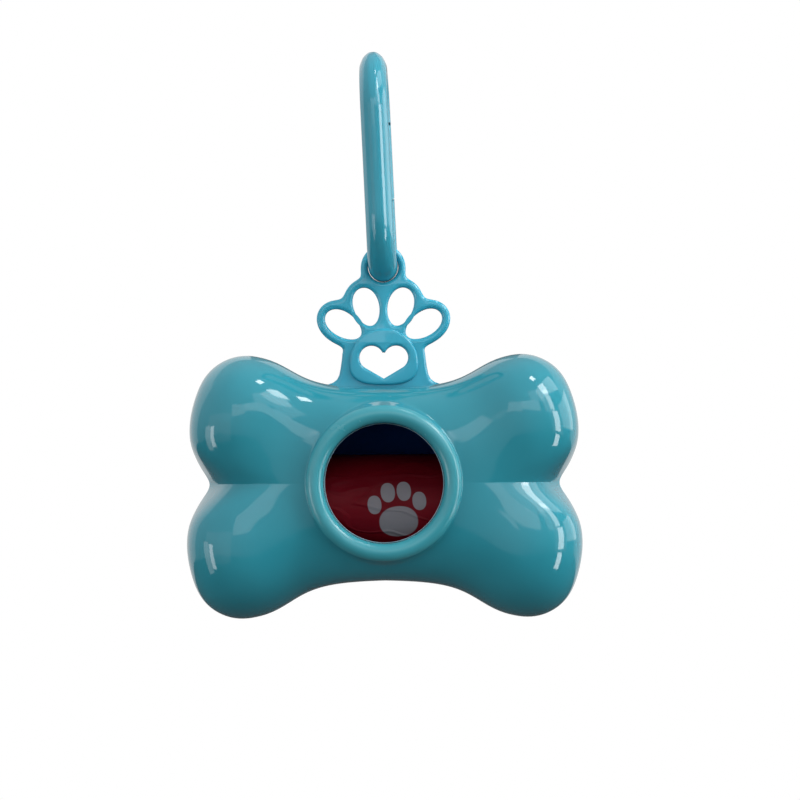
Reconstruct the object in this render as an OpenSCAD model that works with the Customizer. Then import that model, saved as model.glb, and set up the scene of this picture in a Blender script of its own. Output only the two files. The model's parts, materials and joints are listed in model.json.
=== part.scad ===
// Bone-shaped dispenser for a roll of waste bags, hung from a spring-gate clip.
// Frame: millimetres, +Z up, the viewer looks along +Y. The origin is the inside top of the
// clip, where a strap or ring sits, and the case hangs plumb below it.

/* [Bag roll] */
// Diameter of the full roll of bags
roll_d = 25.8; // [21:0.2:32]
// Length of the roll of bags
roll_l = 55; // [50:0.5:70]
// Outer diameter of the paper core
core_d = 13; // [10:0.5:16]
// Thickness of the paper core
core_t = 1.2; // [0.8:0.1:2]
// Step in the roll where the outermost bag ends
film_step = 0.4; // [0.2:0.05:0.6]
// Clearance under the roll at rest
rest_gap = 0.3; // [0.2:0.05:0.5]

/* [Case] */
// Room above the roll and below it at the waist, with the roll in the middle
waist_room = 6.1; // [5:0.1:10]
// Room in front of the roll and behind it, at the middle of the case
side_room = 4.6; // [3.6:0.1:6]
// Room past each end of the roll
end_room = 2.5; // [2.5:0.1:5]
// Amount by which the barrel is shallower at its ends than in the middle, on each side
end_loss = 3.5; // [2:0.25:5]
// Thickness of the moulded walls
wall = 2.2; // [2:0.1:2.8]
// Gap between the two halves where they meet, as seen from outside
parting_gap = 0.15; // [0.05:0.05:0.3]

/* [Lobes] */
// Distance of an upper lobe's middle outside the end of the barrel
upper_lobe_out = 0.4; // [-1:0.1:4]
// Distance of an upper lobe's middle below the top of the waist
upper_lobe_drop = 5.6; // [2:0.1:7]
// Half width and half height of an upper lobe, before blending
upper_lobe_size = [7, 10]; // [6:0.5:14]
// How far an upper lobe leans inwards
upper_lobe_tilt = 23; // [0:1:40]
// Distance of a lower lobe's middle outside the end of the barrel
lower_lobe_out = 0.6; // [-1:0.1:4]
// Distance of a lower lobe's middle above the bottom of the waist
lower_lobe_rise = 4.7; // [2:0.1:7]
// Half width and half height of a lower lobe, before blending
lower_lobe_size = [8, 10.7]; // [6:0.1:14]
// How far a lower lobe leans inwards
lower_lobe_tilt = 18; // [0:1:40]
// Amount by which the lobes are shallower than the barrel, on each side
lobe_shallow = 4.5; // [2:0.5:6]
// Depth of the crease between two lobes, where the barrel ends
crease_depth = 1.3; // [0:0.1:1.6]
// Length of the crease, from its point to the end of the barrel
crease_l = 9.2; // [4:0.2:12]
// Softness of the valley between an upper and a lower lobe
valley_blend = 1.25; // [0.8:0.05:3]
// Softness of the join between the lobes and the barrel
flank_blend = 7; // [4:0.25:9]

/* [Snap joint] */
// Height of the tongue that the rear half carries into the front half
tongue_h = 2.5; // [2:0.1:4]
// Thickness of the outer lip that covers the tongue
lip_t = 1.05; // [0.8:0.05:1.3]
// Clearance between the tongue and the lip
tongue_gap = 0.3; // [0.2:0.05:0.4]
// Height of the snap bead on the tongue
bead_h = 0.2; // [0.1:0.05:0.25]

/* [Outlet] */
// Bore of the ring that the bags are pulled through
outlet_d = 26; // [22:0.1:32]
// Width of the rounded bead round the outlet
bead_w = 3.8; // [3:0.1:4.6]
// Clearance of the ring's collar in the front half
collar_gap = 0.1; // [0.05:0.05:0.2]
// Amount by which the bead covers the edge of the hole in the front half
bead_cover = 0.9; // [0.5:0.1:1.5]
// Height of the flat land that the bead sits on, above the dome at its sides
land_rise = 0.5; // [0.2:0.1:2]

/* [Paw hanger] */
// Thickness of the hanger plate
plate_t = 2.4; // [2:0.1:3]
// Height of the hanging eye's centre above the top of the waist
eye_rise = 27.4; // [26.4:0.1:34]
// Clearance between the hanging eye and the clip's bar
eye_gap = 0.3; // [0.2:0.05:0.8]
// Width of the rim round the eye and the toes
rim_w = 1.6; // [1.3:0.1:2.4]
// Half length and half width of an inner toe
inner_toe = [4.4, 2.85]; // [2:0.1:6]
// Half length and half width of an outer toe
outer_toe = [4.55, 2.75]; // [2:0.1:6]
// Amount by which the heart pad stands proud of the plate
pad_raise = 0.6; // [0.3:0.1:1]
// Radius of each round of the heart
heart_r = 2.7; // [2:0.1:3.2]

/* [Clip] */
// Height of the clip over all
clip_h = 51.8; // [44:0.2:64]
// Width of the clip over all
clip_w = 28.8; // [26:0.2:36]
// Thickness of the clip's bar, measured in the plane of the clip
bar_t = 6.5; // [5.4:0.1:7.8]
// Width of the clip's bar, measured across the clip
bar_w = 6.3; // [5.8:0.1:7.8]
// Width of the bar's narrow outer face, all round the clip
nose_w = 1.2; // [0.6:0.1:1.8]
// Distance from the outer face back to where the bar is widest
belly = 5.5; // [4.4:0.1:6]
// Amount by which the circle that rounds the bar stands outside its flat inner face
bar_round = 0.1; // [0.05:0.05:0.3]
// Sideways lean of the clip in the hanging eye
clip_lean = 2.4; // [-6:0.2:6]
// Turn of the clip about the upright, as it hangs
clip_turn = -1.5; // [-4:0.5:4]
// Diameter of the gate's hinge pin
pin_d = 2; // [1.6:0.1:2.4]
// Height of the hinge pin above the centre of the lower bend
pin_rise = 2.2; // [1.5:0.1:3]
// Width of the slot between the two hinge ears
fork_w = 3.2; // [3.2:0.1:3.4]
// Gap between the gate's tip and the nose
gate_gap = 0.5; // [0.4:0.05:0.8]
// Length of the lap where the gate's tip lies behind the nose
lap_l = 4; // [3:0.1:6]

/* [Gate spring] */
// Diameter of the spring's wire
wire_d = 0.4; // [0.3:0.05:0.5]
// Room between the hinge pin and the spring's coil
coil_room = 0.45; // [0.3:0.05:0.6]
// Number of turns in the spring's coil
coil_turns = 2; // [2:1:3]

/* [Hidden] */
$fn = 64;

shell_blue = [0.36, 0.66, 0.72];
clip_blue = [0.33, 0.60, 0.68];
steel_grey = [0.62, 0.64, 0.66];
film_red = [0.36, 0.06, 0.11];
card_brown = [0.66, 0.54, 0.40];

// The case: a barrel round the roll with four lobes, blended into one another
barrel_mid_z = -0.25;
barrel_end_power = 9;
barrel_side_power = 3;
lobe_power = 2.25;
roll_r = roll_d / 2;
half_depth = roll_r + side_room + wall;
half_waist = roll_r + waist_room + wall;
barrel_l = roll_l / 2 + end_room + wall;
lobe_depth_r = half_depth - lobe_shallow;
upper_lobe_x = barrel_l + upper_lobe_out;
upper_lobe_z = half_waist - upper_lobe_drop;
lower_lobe_x = barrel_l + lower_lobe_out;
lower_lobe_z = lower_lobe_rise - half_waist;
far_out = half_waist + barrel_l + upper_lobe_size[1];
search_steps = 18;

// The crease: a narrow wedge that starts at a point and fades towards the parting plane
lip_depth = tongue_h + tongue_gap;
crease_slope = crease_depth / crease_l;
crease_flank = 0.35;
crease_round = 0.25;
crease_full_y = half_depth / 2;

// Columns round the case and rows across its walls; the warp crowds columns at the end notches
columns = 84;
column_warp = 10;
outer_rows = 11;
inner_rows = 8;

// Outlet
bead_r = bead_w / 2;
bead_mid_r = outlet_d / 2 + bead_r;
hole_r = bead_mid_r + bead_r - bead_cover;
land_margin = 0.15;
land_slope = 0.2;
land_r = bead_mid_r + bead_r + land_margin;
land_foot_r = land_r + land_slope;
collar_r = hole_r - collar_gap;
collar_room = 0.5;
collar_end_y = roll_r + collar_room;

// Snap joint: heights along the tongue, as shares of it
bead_low = 0.5;
bead_mid = 0.72;
bead_top = 0.94;

// Roll
core_clear = 0.05;
film_end_angle = 250;
film_steps = 90;

// Clip, in its own upright frame with the inside top at the origin
half_bar = bar_t / 2;
bar_round_r = max(bar_t, bar_w) / 2 + bar_round;
belly_x = half_bar - belly;
flank_drop = (bar_w - nose_w) / 2;
flank_r = (pow(flank_drop, 2) + pow(belly, 2)) / (2 * flank_drop);
flank_y = flank_r - bar_w / 2;
eye_r = bar_round_r + eye_gap;
bend_r = (clip_w - bar_t) / 2;
top_bend_z = half_bar - bend_r;
eye_drop = clip_h - bar_t - half_bar;
low_bend_z = bend_r - eye_drop;
pin_z = low_bend_z + pin_rise;
ear_gap = 0.35;
knuckle_gap = 0.1;
pin_run = 0.05;
knuckle_w = fork_w - 2 * knuckle_gap;
tip_drop = 0.7;
gate_tip_z = top_bend_z - tip_drop;
lap_gap = 0.1;
knuckle_in = 0.05;
knuckle_neck = 1.2;
pin_short = 0.1;
lap_z = gate_tip_z - lap_l;

// Gate spring, with its pocket in the gate's knuckle
wire_sides = 6;
coil_steps = 12;
coil_r = pin_d / 2 + coil_room + wire_d / 2;
coil_space = 0.05;
coil_side = 0.1;
coil_pitch = wire_d + coil_space;
spring_x = -knuckle_w / 2 + wire_d / 2 + coil_side;
pocket_w = coil_pitch * coil_turns + wire_d + 2 * coil_side;
pocket_gap = 0.4;
pocket_r = coil_r + wire_d / 2 + pocket_gap;
foot_leg_l = half_bar + 2;
gate_leg_l = half_bar + 3;
leg_gap = 0.25;
leg_room = wire_d / 2 + leg_gap;
leg_end_gap = 0.3;

function soft_max(a, b, k) = max(a, b) + k * ln(1 + exp(-abs(a - b) / k));

// A smooth ramp: near zero below zero, and close to a above it
function soft_ramp(a, k) = soft_max(a, 0, k);

// Depth of a point inside one lobe, shrunk by s on every side
function lobe_depth(x, y, z, cx, cz, size, tilt, s) =
    let (
        u = (x - cx) * cos(tilt) + (z - cz) * sin(tilt),
        v = (z - cz) * cos(tilt) - (x - cx) * sin(tilt),
        du = pow(abs(u) / (size[0] - s), lobe_power),
        dv = pow(abs(v) / (size[1] - s), lobe_power),
        dy = pow(abs(y) / (lobe_depth_r - s), lobe_power)
    )
    (1 - pow(du + dv + dy, 1 / lobe_power)) * ((size[0] + size[1]) / 2 - s);

// Depth of a point inside the barrel, shrunk by s on every side
function barrel_depth(x, y, z, s) =
    let (
        dz = pow(abs(z - barrel_mid_z) / (half_waist - s), barrel_side_power),
        depth = half_depth - s - end_loss * pow(min(abs(x) / barrel_l, 1), 2),
        dy = pow(abs(y) / depth, barrel_side_power),
        side = pow(dz + dy, 1 / barrel_side_power),
        end = pow(abs(x) / (barrel_l - s), barrel_end_power)
    )
    (1 - pow(end + pow(side, barrel_end_power), 1 / barrel_end_power)) * (half_waist - s);

// Depth of the crease that runs in from the notch between two lobes; the snap joint has none
function crease(x, y, z) =
    let (
        wedge = crease_slope * (abs(x) - barrel_l + crease_l) - crease_flank * abs(z),
        share = max(0, min((abs(y) - lip_depth) / (crease_full_y - lip_depth), 1))
    )
    soft_ramp(wedge, crease_round) * share * share * (3 - 2 * share);

// Depth of a point inside the whole case; zero on its surface
function case_field(x, y, z, s) =
    let (
        up = lobe_depth(abs(x), y, z, upper_lobe_x, upper_lobe_z, upper_lobe_size,
            upper_lobe_tilt, s),
        low = lobe_depth(abs(x), y, z, lower_lobe_x, lower_lobe_z, lower_lobe_size,
            -lower_lobe_tilt, s)
    )
    soft_max(soft_max(up, low, valley_blend), barrel_depth(x, y, z, s), flank_blend)
        - crease(x, y, z);

// Distance from the middle to the surface, towards angle t at depth y
function reach(t, y, s, near = 0, far = far_out, left = search_steps) =
    let (r = (near + far) / 2)
    left == 0 ? r
    : case_field(r * cos(t), y, r * sin(t), s) > 0 ? reach(t, y, s, r, far, left - 1)
    : reach(t, y, s, near, r, left - 1);

// Depth of the dome over the point x, z
function dome(x, z, s, near = 0, far = far_out / 2, left = search_steps) =
    let (y = (near + far) / 2)
    left == 0 ? y
    : case_field(x, y, z, s) > 0 ? dome(x, z, s, y, far, left - 1)
    : dome(x, z, s, near, y, left - 1);

function column_angle(i) = 360 * i / columns - column_warp * sin(720 * i / columns);

function polar(t, r, y) = [r * cos(t), y, r * sin(t)];

// One ring of points at a fixed depth, inset by s from the outline at the parting plane
function edge_ring(s, y) = [
    for (i = [0:columns - 1])
        let (t = column_angle(i))
        polar(t, reach(t, 0, s), y)
];

// One ring of points on a circle
function round_ring(r, y) = [for (i = [0:columns - 1]) polar(column_angle(i), r, y)];

// One ring of points on a dome, a share of the way from radius r0 to where it has depth y1
function dome_ring(r0, y1, s, share) = [
    for (i = [0:columns - 1])
        let (
            t = column_angle(i),
            r = r0 + (reach(t, y1, s) - r0) * sin(90 * share)
        )
        polar(t, r, share == 1 ? y1 : dome(r * cos(t), r * sin(t), s))
];

function flat(lists) = [for (list = lists) each list];

function flipped(points) = [for (p = points) [p[0], -p[1], p[2]]];

// Triangles between ring a and ring b
function band(a, b) = flat([
    for (i = [0:columns - 1])
        let (
            j = (i + 1) % columns,
            a0 = a * columns + i,
            a1 = a * columns + j,
            b0 = b * columns + i,
            b1 = b * columns + j
        )
        [[a0, b0, a1], [a1, b0, b1]]
]);

// Triangles from ring a to a single point
function cap(a, tip, outward) = [
    for (i = [0:columns - 1])
        let (a0 = a * columns + i, a1 = a * columns + (i + 1) % columns)
        outward ? [tip, a0, a1] : [tip, a1, a0]
];

// Depth of the ring's land in front of the parting plane, and height of the case's waist
land_y = dome(land_foot_r, 0, 0) + land_rise;
case_top = reach(90, 0, 0);
eye_z = case_top + eye_rise;

// The case hangs plumb below the eye, with its parting plane at the front of the hanger plate
eye_place = [eye_drop * sin(clip_lean), 0, -eye_drop * cos(clip_lean)];
case_place = eye_place - [0, plate_t / 2, eye_z];

// Front half of the case, open at the outlet, in the case's own frame
module front_wall() {
    outer = [for (j = [0:outer_rows]) dome_ring(land_foot_r, parting_gap, 0, j / outer_rows)];
    inner = [for (j = [inner_rows:-1:1]) dome_ring(hole_r, lip_depth, wall, j / inner_rows)];
    rings = concat(
        [round_ring(hole_r, land_y), round_ring(land_r, land_y)],
        outer,
        [
            edge_ring(lip_t, parting_gap),
            edge_ring(lip_t, tongue_h * bead_low),
            edge_ring(lip_t - bead_h, tongue_h * bead_mid),
            edge_ring(lip_t, tongue_h * bead_top),
            edge_ring(lip_t, lip_depth)
        ],
        inner,
        [dome_ring(hole_r, lip_depth, wall, 0)]
    );
    count = len(rings);
    faces = flat([for (a = [0:count - 1]) band(a, (a + 1) % count)]);
    polyhedron(flipped(flat(rings)), faces);
}

// Rear half of the case with its tongue, in the case's own frame
module rear_wall() {
    tongue_s = lip_t + tongue_gap;
    outer = [for (j = [1:outer_rows]) dome_ring(0, 0, 0, j / outer_rows)];
    inner = [for (j = [inner_rows:-1:1]) dome_ring(0, 0, wall, j / inner_rows)];
    rings = concat(
        outer,
        [
            edge_ring(tongue_s, 0),
            edge_ring(tongue_s, -tongue_h * bead_low),
            edge_ring(tongue_s - bead_h, -tongue_h * bead_mid),
            edge_ring(tongue_s, -tongue_h * bead_top),
            edge_ring(tongue_s, -tongue_h),
            edge_ring(wall, -tongue_h)
        ],
        inner
    );
    count = len(rings);
    tips = [[0, dome(0, 0, 0), 0], [0, dome(0, 0, wall), 0]];
    first = count * columns;
    faces = concat(
        flat([for (a = [0:count - 2]) band(a + 1, a)]),
        cap(0, first, true),
        cap(count - 1, first + 1, false)
    );
    polyhedron(concat(flat(rings), tips), faces);
}

// Outline of an oval, its long axis turned from upright; power above 2 squares it off
function oval_points(size, lean, power = 2, steps = 40) = [
    for (i = [0:steps - 1])
        let (
            a = 360 * i / steps,
            v = size[0] * sign(cos(a)) * pow(abs(cos(a)), 2 / power),
            u = size[1] * sign(sin(a)) * pow(abs(sin(a)), 2 / power)
        )
        [u * cos(lean) + v * sin(lean), v * cos(lean) - u * sin(lean)]
];

// Places of the toes, worked out from the hanging eye
inner_toe_place = [3.8, eye_z - 8.9];
inner_toe_lean = 16;
outer_toe_place = [9, eye_z - 12.9];
outer_toe_lean = 56;
toe_rim_w = rim_w + 0.25;

module both_sides() {
    children();
    mirror([1, 0]) children();
}

module toes(grow) {
    both_sides() {
        translate(inner_toe_place) polygon(oval_points(inner_toe + [grow, grow], inner_toe_lean));
        translate(outer_toe_place) polygon(oval_points(outer_toe + [grow, grow], outer_toe_lean));
    }
}

// The heart: two rounds and the wedge between their tangents
heart_place = [2.75, case_top + 7.05];
heart_tip = [0, case_top + 2.3];
heart_cleft = 1.2;

module heart() {
    reach_l = norm(heart_place - heart_tip);
    swing = acos(heart_r / reach_l);
    base = atan2(heart_tip[1] - heart_place[1], heart_tip[0] - heart_place[0]);
    touch = heart_place + heart_r * [cos(base + swing), sin(base + swing)];
    both_sides() {
        translate(heart_place) circle(heart_r);
        polygon([heart_tip, touch, heart_place, [0, heart_place[1] + heart_cleft]]);
    }
}

// The raised pad: round above, squarer below
pad_half_w = 7.7;
pad_up = 8;
pad_down = 4.65;
pad_foot = 0.85;
pad_mid_z = case_top + pad_foot + pad_down;
pad_up_power = 2.1;
pad_down_power = 2.7;
pad_sink = 0.5;

// The half plane z > 0, or z < 0, as far as the pad reaches
module pad_half(up) {
    translate([-pad_half_w, up ? 0 : -pad_up]) square([2 * pad_half_w, pad_up]);
}

module pad_outline() {
    translate([0, pad_mid_z]) {
        intersection() {
            polygon(oval_points([pad_up, pad_half_w], 0, pad_up_power));
            pad_half(true);
        }
        intersection() {
            polygon(oval_points([pad_down, pad_half_w], 0, pad_down_power));
            pad_half(false);
        }
    }
}

// The plate's neck flares into the case below and meets the toes above; right half of its outline
neck_sink = 0.7;
neck_foot = [[0, -neck_sink], [11.2, -neck_sink], [12.6, 1.1], [11.4, 1.5], [10.5, 2.2],
    [10, 3.2], [9.7, 4.7], [9.2, 7.9]];
neck_head = [[8.4, -17.9], [5, -10.5], [0, -4.5]];

module neck() {
    both_sides()
        polygon(concat(
            [for (p = neck_foot) p + [0, case_top]],
            [for (p = neck_head) p + [0, eye_z]]
        ));
}

module hanger_outline() {
    difference() {
        union() {
            translate([0, eye_z]) circle(eye_r + rim_w);
            toes(toe_rim_w);
            neck();
        }
        translate([0, eye_z]) circle(eye_r);
        toes(0);
        heart();
    }
}

// A flat outline stood upright, its thickness running back from y
module upright(y, t) {
    translate([0, y + t, 0]) rotate([90, 0, 0]) linear_extrude(t) children();
}

module hanger() {
    upright(0, plate_t) hanger_outline();
    upright(-pad_raise, pad_raise + pad_sink)
        difference() {
            pad_outline();
            heart();
        }
}

module rear_shell() {
    color(shell_blue)
        translate(case_place)
            union() {
                rear_wall();
                hanger();
            }
}

module front_shell() {
    color(shell_blue) translate(case_place) front_wall();
}

module outlet_ring() {
    color(shell_blue)
        translate(case_place)
            rotate([90, 0, 0])
                rotate_extrude() {
                    translate([outlet_d / 2, collar_end_y])
                        square([collar_r - outlet_d / 2, land_y - collar_end_y]);
                    difference() {
                        translate([bead_mid_r, land_y]) circle(bead_r);
                        translate([collar_r, land_y - bead_w]) square(bead_w);
                    }
                }
}

// Section of the clip's bar, with x pointing out of the clip and y across it: a narrow outer
// face, two curved flanks, and an inner face with rounded corners
module bar_section() {
    intersection() {
        circle(bar_round_r);
        square([bar_t, bar_w], center = true);
        translate([belly_x, flank_y]) circle(flank_r);
        translate([belly_x, -flank_y]) circle(flank_r);
    }
}

// Half width of the bar at a distance outwards from its middle
function flank_width(out) = sqrt(pow(flank_r, 2) - pow(out - belly_x, 2)) - flank_y;

// A bend of the bar about the x axis through [0, 0, z], from angle a over a sweep
module bend(z, a, sweep) {
    translate([0, 0, z])
        rotate([a, 0, 0])
            rotate([90, 0, 90])
                rotate_extrude(angle = sweep)
                    translate([bend_r, 0]) bar_section();
}

// A straight limb of the bar at y, between two heights
module limb(y, z0, z1) {
    translate([0, y, z0]) linear_extrude(z1 - z0) rotate(90 * sign(y)) bar_section();
}

// A cylinder across the clip
module cross_rod(y, z, r, w) {
    translate([-w / 2, y, z]) rotate([0, 90, 0]) cylinder(r = r, h = w);
}

module clip_pose() {
    rotate([0, -clip_lean, 0]) rotate([0, 0, clip_turn]) children();
}

module carabiner_body() {
    cut = bar_w + 2;
    color(clip_blue)
        clip_pose()
            difference() {
                union() {
                    bend(top_bend_z, 0, 180);
                    bend(low_bend_z, 180, 180);
                    limb(-bend_r, low_bend_z, top_bend_z);
                    limb(bend_r, low_bend_z, pin_z);
                    intersection() {
                        limb(bend_r, pin_z, pin_z + half_bar);
                        cross_rod(bend_r, pin_z, half_bar, bar_w);
                    }
                    intersection() {
                        limb(bend_r, lap_z + gate_gap, top_bend_z);
                        translate([-cut / 2, bend_r, lap_z]) cube([cut, half_bar + 1, cut + lap_l]);
                    }
                }
                translate([-fork_w / 2, bend_r - half_bar - 1, pin_z])
                    cube([fork_w, bar_t + 2, half_bar + 1]);
                cross_rod(bend_r, pin_z, half_bar + ear_gap, fork_w);
                cross_rod(bend_r, pin_z, pin_d / 2, cut);
                translate([spring_x, bend_r - coil_r, pin_z - foot_leg_l - leg_end_gap])
                    cylinder(r = leg_room, h = foot_leg_l);
            }
}

// Room in the gate for the coil, its foot leg as the gate swings, and its gate leg
module spring_pocket() {
    gate_leg_x = spring_x + coil_pitch * coil_turns;
    translate([0, bend_r, pin_z]) {
        translate([-knuckle_w / 2 - 1, 0, 0]) rotate([0, 90, 0]) cylinder(r = pocket_r, h = pocket_w + 1);
        translate([-knuckle_w / 2 - 1, -half_bar - 1, -half_bar - 1])
            cube([pocket_w + 1, half_bar + 1 - coil_r + leg_room, half_bar + 1]);
        translate([gate_leg_x - leg_room, -half_bar - 1, 0])
            cube([2 * leg_room, half_bar + 1 - coil_r + leg_room, gate_leg_l + leg_end_gap]);
    }
}

module carabiner_gate() {
    cut = bar_w + 2;
    color(clip_blue)
        clip_pose()
            difference() {
                union() {
                    difference() {
                        limb(bend_r, pin_z, gate_tip_z);
                        cross_rod(bend_r, pin_z, half_bar + ear_gap, cut);
                        translate([-cut / 2, bend_r - lap_gap, lap_z]) cube([cut, half_bar + 1, lap_l + 1]);
                    }
                    cross_rod(bend_r, pin_z, half_bar - knuckle_in, knuckle_w);
                    translate([-knuckle_w / 2, bend_r - half_bar + knuckle_neck, pin_z])
                        cube([knuckle_w, bar_t - 2 * knuckle_neck, half_bar + 2]);
                }
                cross_rod(bend_r, pin_z, pin_d / 2 + pin_run, cut);
                spring_pocket();
            }
}

// The pin ends just below the ears' faces
module gate_pin() {
    pin_l = 2 * (flank_width(pin_d / 2) - pin_short);
    color(steel_grey) clip_pose() cross_rod(bend_r, pin_z, pin_d / 2, pin_l);
}

// The roll lies on the bottom of the cavity
roll_z = rest_gap + roll_r - reach(-90, 0, wall);

// Anything on the roll's axis, drawn as its cross-section
module along_roll(length) {
    translate(case_place + [0, 0, roll_z])
        rotate([90, 0, 90])
            translate([0, 0, -length / 2])
                linear_extrude(length) children();
}

module bag_roll() {
    color(film_red)
        along_roll(roll_l)
            difference() {
                polygon([
                    for (i = [0:film_steps])
                        let (
                            share = i / film_steps,
                            a = film_end_angle + 360 * share
                        )
                        (roll_r - film_step * share) * [cos(a), sin(a)]
                ]);
                circle(core_d / 2 + core_clear);
            }
}

module roll_core() {
    color(card_brown)
        along_roll(roll_l)
            difference() {
                circle(core_d / 2);
                circle(core_d / 2 - core_t);
            }
}

// Middle line of the spring: a leg up from the body, the coil, and a leg up into the gate
spring_path = concat(
    [[spring_x, -coil_r, -foot_leg_l]],
    [
        for (i = [0:coil_turns * coil_steps])
            let (a = 360 * i / coil_steps)
            [spring_x + coil_pitch * i / coil_steps, -coil_r * cos(a), coil_r * sin(a)]
    ],
    [[spring_x + coil_pitch * coil_turns, -coil_r, gate_leg_l]]
);

// Direction away from the pin at a point of the middle line; the legs keep that of the coil's end
function spring_outward(i) =
    let (turn = max(0, min(i - 1, coil_turns * coil_steps)), a = 360 * turn / coil_steps)
    [0, -cos(a), sin(a)];

module gate_spring() {
    count = len(spring_path);
    points = [
        for (i = [0:count - 1])
            for (k = [0:wire_sides - 1])
                let (a = 360 * k / wire_sides)
                spring_path[i] + wire_d / 2 * (cos(a) * spring_outward(i) + sin(a) * [1, 0, 0])
    ];
    faces = concat(
        [[for (k = [0:wire_sides - 1]) k]],
        [[for (k = [wire_sides - 1:-1:0]) (count - 1) * wire_sides + k]],
        [
            for (i = [0:count - 2])
                for (k = [0:wire_sides - 1])
                    for (side = [0, 1])
                        let (
                            a0 = i * wire_sides + k,
                            a1 = i * wire_sides + (k + 1) % wire_sides,
                            b0 = a0 + wire_sides,
                            b1 = a1 + wire_sides
                        )
                        side == 0 ? [a0, b0, a1] : [a1, b0, b1]
        ]
    );
    color(steel_grey)
        clip_pose()
            translate([0, bend_r, pin_z])
                polyhedron(points, faces);
}

rear_shell();
front_shell();
outlet_ring();
carabiner_body();
carabiner_gate();
gate_pin();
gate_spring();
bag_roll();
roll_core();
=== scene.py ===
import json
import math

import bmesh
import bpy
import numpy as np
from mathutils import Matrix, Vector
from mathutils.geometry import tessellate_polygon


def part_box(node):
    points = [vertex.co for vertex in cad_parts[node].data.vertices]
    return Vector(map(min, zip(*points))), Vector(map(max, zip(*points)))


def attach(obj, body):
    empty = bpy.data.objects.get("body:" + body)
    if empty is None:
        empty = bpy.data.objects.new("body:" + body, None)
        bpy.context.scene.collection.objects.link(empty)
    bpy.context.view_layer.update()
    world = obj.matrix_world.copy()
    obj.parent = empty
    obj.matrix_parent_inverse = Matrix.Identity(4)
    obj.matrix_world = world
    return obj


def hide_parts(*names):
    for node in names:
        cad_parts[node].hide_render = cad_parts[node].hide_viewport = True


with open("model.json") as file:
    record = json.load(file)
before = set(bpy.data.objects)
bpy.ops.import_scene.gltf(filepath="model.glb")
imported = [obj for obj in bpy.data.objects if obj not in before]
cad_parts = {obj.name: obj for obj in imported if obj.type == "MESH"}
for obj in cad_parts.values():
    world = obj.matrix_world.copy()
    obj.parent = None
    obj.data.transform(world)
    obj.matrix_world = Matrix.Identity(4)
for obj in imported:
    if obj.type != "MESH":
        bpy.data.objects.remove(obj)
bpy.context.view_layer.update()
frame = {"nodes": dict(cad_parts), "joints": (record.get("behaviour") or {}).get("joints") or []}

MM = 0.001
joints = {joint["name"]: joint for joint in frame["joints"]}


def joint_place(name):
    return Vector(joints[name]["pos_m"]) / MM


# Sizes of the case; the angles of rounded edges, here and below, are in degrees
WALL = 2.2
PARTING_GAP = 0.15
ROLL_R = 12.9
ROLL_L = 55.0
HALF_DEPTH = 19.7
HALF_WAIST = 21.2
BARREL_L = 32.2
END_LOSS = 3.5
BARREL_MID_Z = -0.25
BARREL_END_POWER = 9
BARREL_SIDE_POWER = 3
LOBE_POWER = 2.25
LOBE_DEPTH = 15.2
UPPER_LOBE = {"x": 32.6, "z": 15.6, "size": (7.0, 10.0), "tilt": 23}
LOWER_LOBE = {"x": 32.8, "z": -16.5, "size": (8.0, 10.7), "tilt": -18}
VALLEY_BLEND = 1.25
FLANK_BLEND = 7.0
CREASE_DEPTH = 1.3
CREASE_L = 9.2
CREASE_FLANK = 0.35
CREASE_ROUND = 0.33
CREASE_FULL_Y = 14.5
TONGUE_H = 2.5
TONGUE_GAP = 0.3
LIP_T = 1.05
LIP_DEPTH = TONGUE_H + TONGUE_GAP
SNAP_BEAD = 0.2
SNAP_LINES = ((0.5, 0), (0.72, SNAP_BEAD), (0.94, 0))
TONGUE_CHAMFER = 0.2
RIM_ROUND = 0.16
RIM_TURNS = (22, 45, 67, 90)

# Sizes of the ring and of the land that it sits on
RING_BORE_R = 13.0
RING_END_R = 12.85
EDGE_T = 0.15
EDGE_STEP = 0.03
# Rows at the collar's inner end that are painted pale, as a thin highlight
EDGE_HIGHLIGHT_ROWS = 4
BEAD_R = 1.9
BEAD_MID_R = RING_BORE_R + BEAD_R
HOLE_R = 15.9
COLLAR_R = HOLE_R - 0.1
COLLAR_TOP = 0.6
COLLAR_END_Y = ROLL_R + 0.5
COLLAR_ROUND = 0.4
LAND_R = 16.95
LAND_EDGE_R = LAND_R + 0.2
LAND_RISE = 0.5
SKIRT_R = 16.55
LAND_LAST_R = SKIRT_R - 0.3
SKIRT_INNER_R = SKIRT_R - 0.2
SKIRT_OUTER_R = LAND_R + 1.1
SKIRT_STEEP = 4.0
SKIRT_BLEND = 0.5
LAND_ROUND = 0.12

# Place of the case, from the ring and the front half
ring_low, ring_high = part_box("outlet_ring")
CASE = Vector((
    (ring_low.x + ring_high.x) / 2 / MM,
    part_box("front_shell")[1].y / MM + PARTING_GAP,
    (ring_low.z + ring_high.z) / 2 / MM,
))
EYE_Z = joint_place("case_swing").z - CASE.z


# Rays are followed this far, which is past every point of the case
REACH_LIMIT = 64
DEPTH_LIMIT = 24


def soft_max(a, b, k):
    """The greater of two fields, blended over about k where they meet."""
    return np.maximum(a, b) + k * np.log1p(np.exp(-np.abs(a - b) / k))


def soft_min(a, b, k):
    return -soft_max(-a, -b, k)


def lobe_depth(x, y, z, lobe, s):
    """How deep points lie inside one lobe, a tilted round block inset by s."""
    tilt = math.radians(lobe["tilt"])
    u = (x - lobe["x"]) * math.cos(tilt) + (z - lobe["z"]) * math.sin(tilt)
    v = (z - lobe["z"]) * math.cos(tilt) - (x - lobe["x"]) * math.sin(tilt)
    wide, high = lobe["size"]
    total = (np.abs(u) / (wide - s)) ** LOBE_POWER
    total = total + (np.abs(v) / (high - s)) ** LOBE_POWER
    total = total + (np.abs(y) / (LOBE_DEPTH - s)) ** LOBE_POWER
    return (1 - total ** (1 / LOBE_POWER)) * ((wide + high) / 2 - s)


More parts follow.
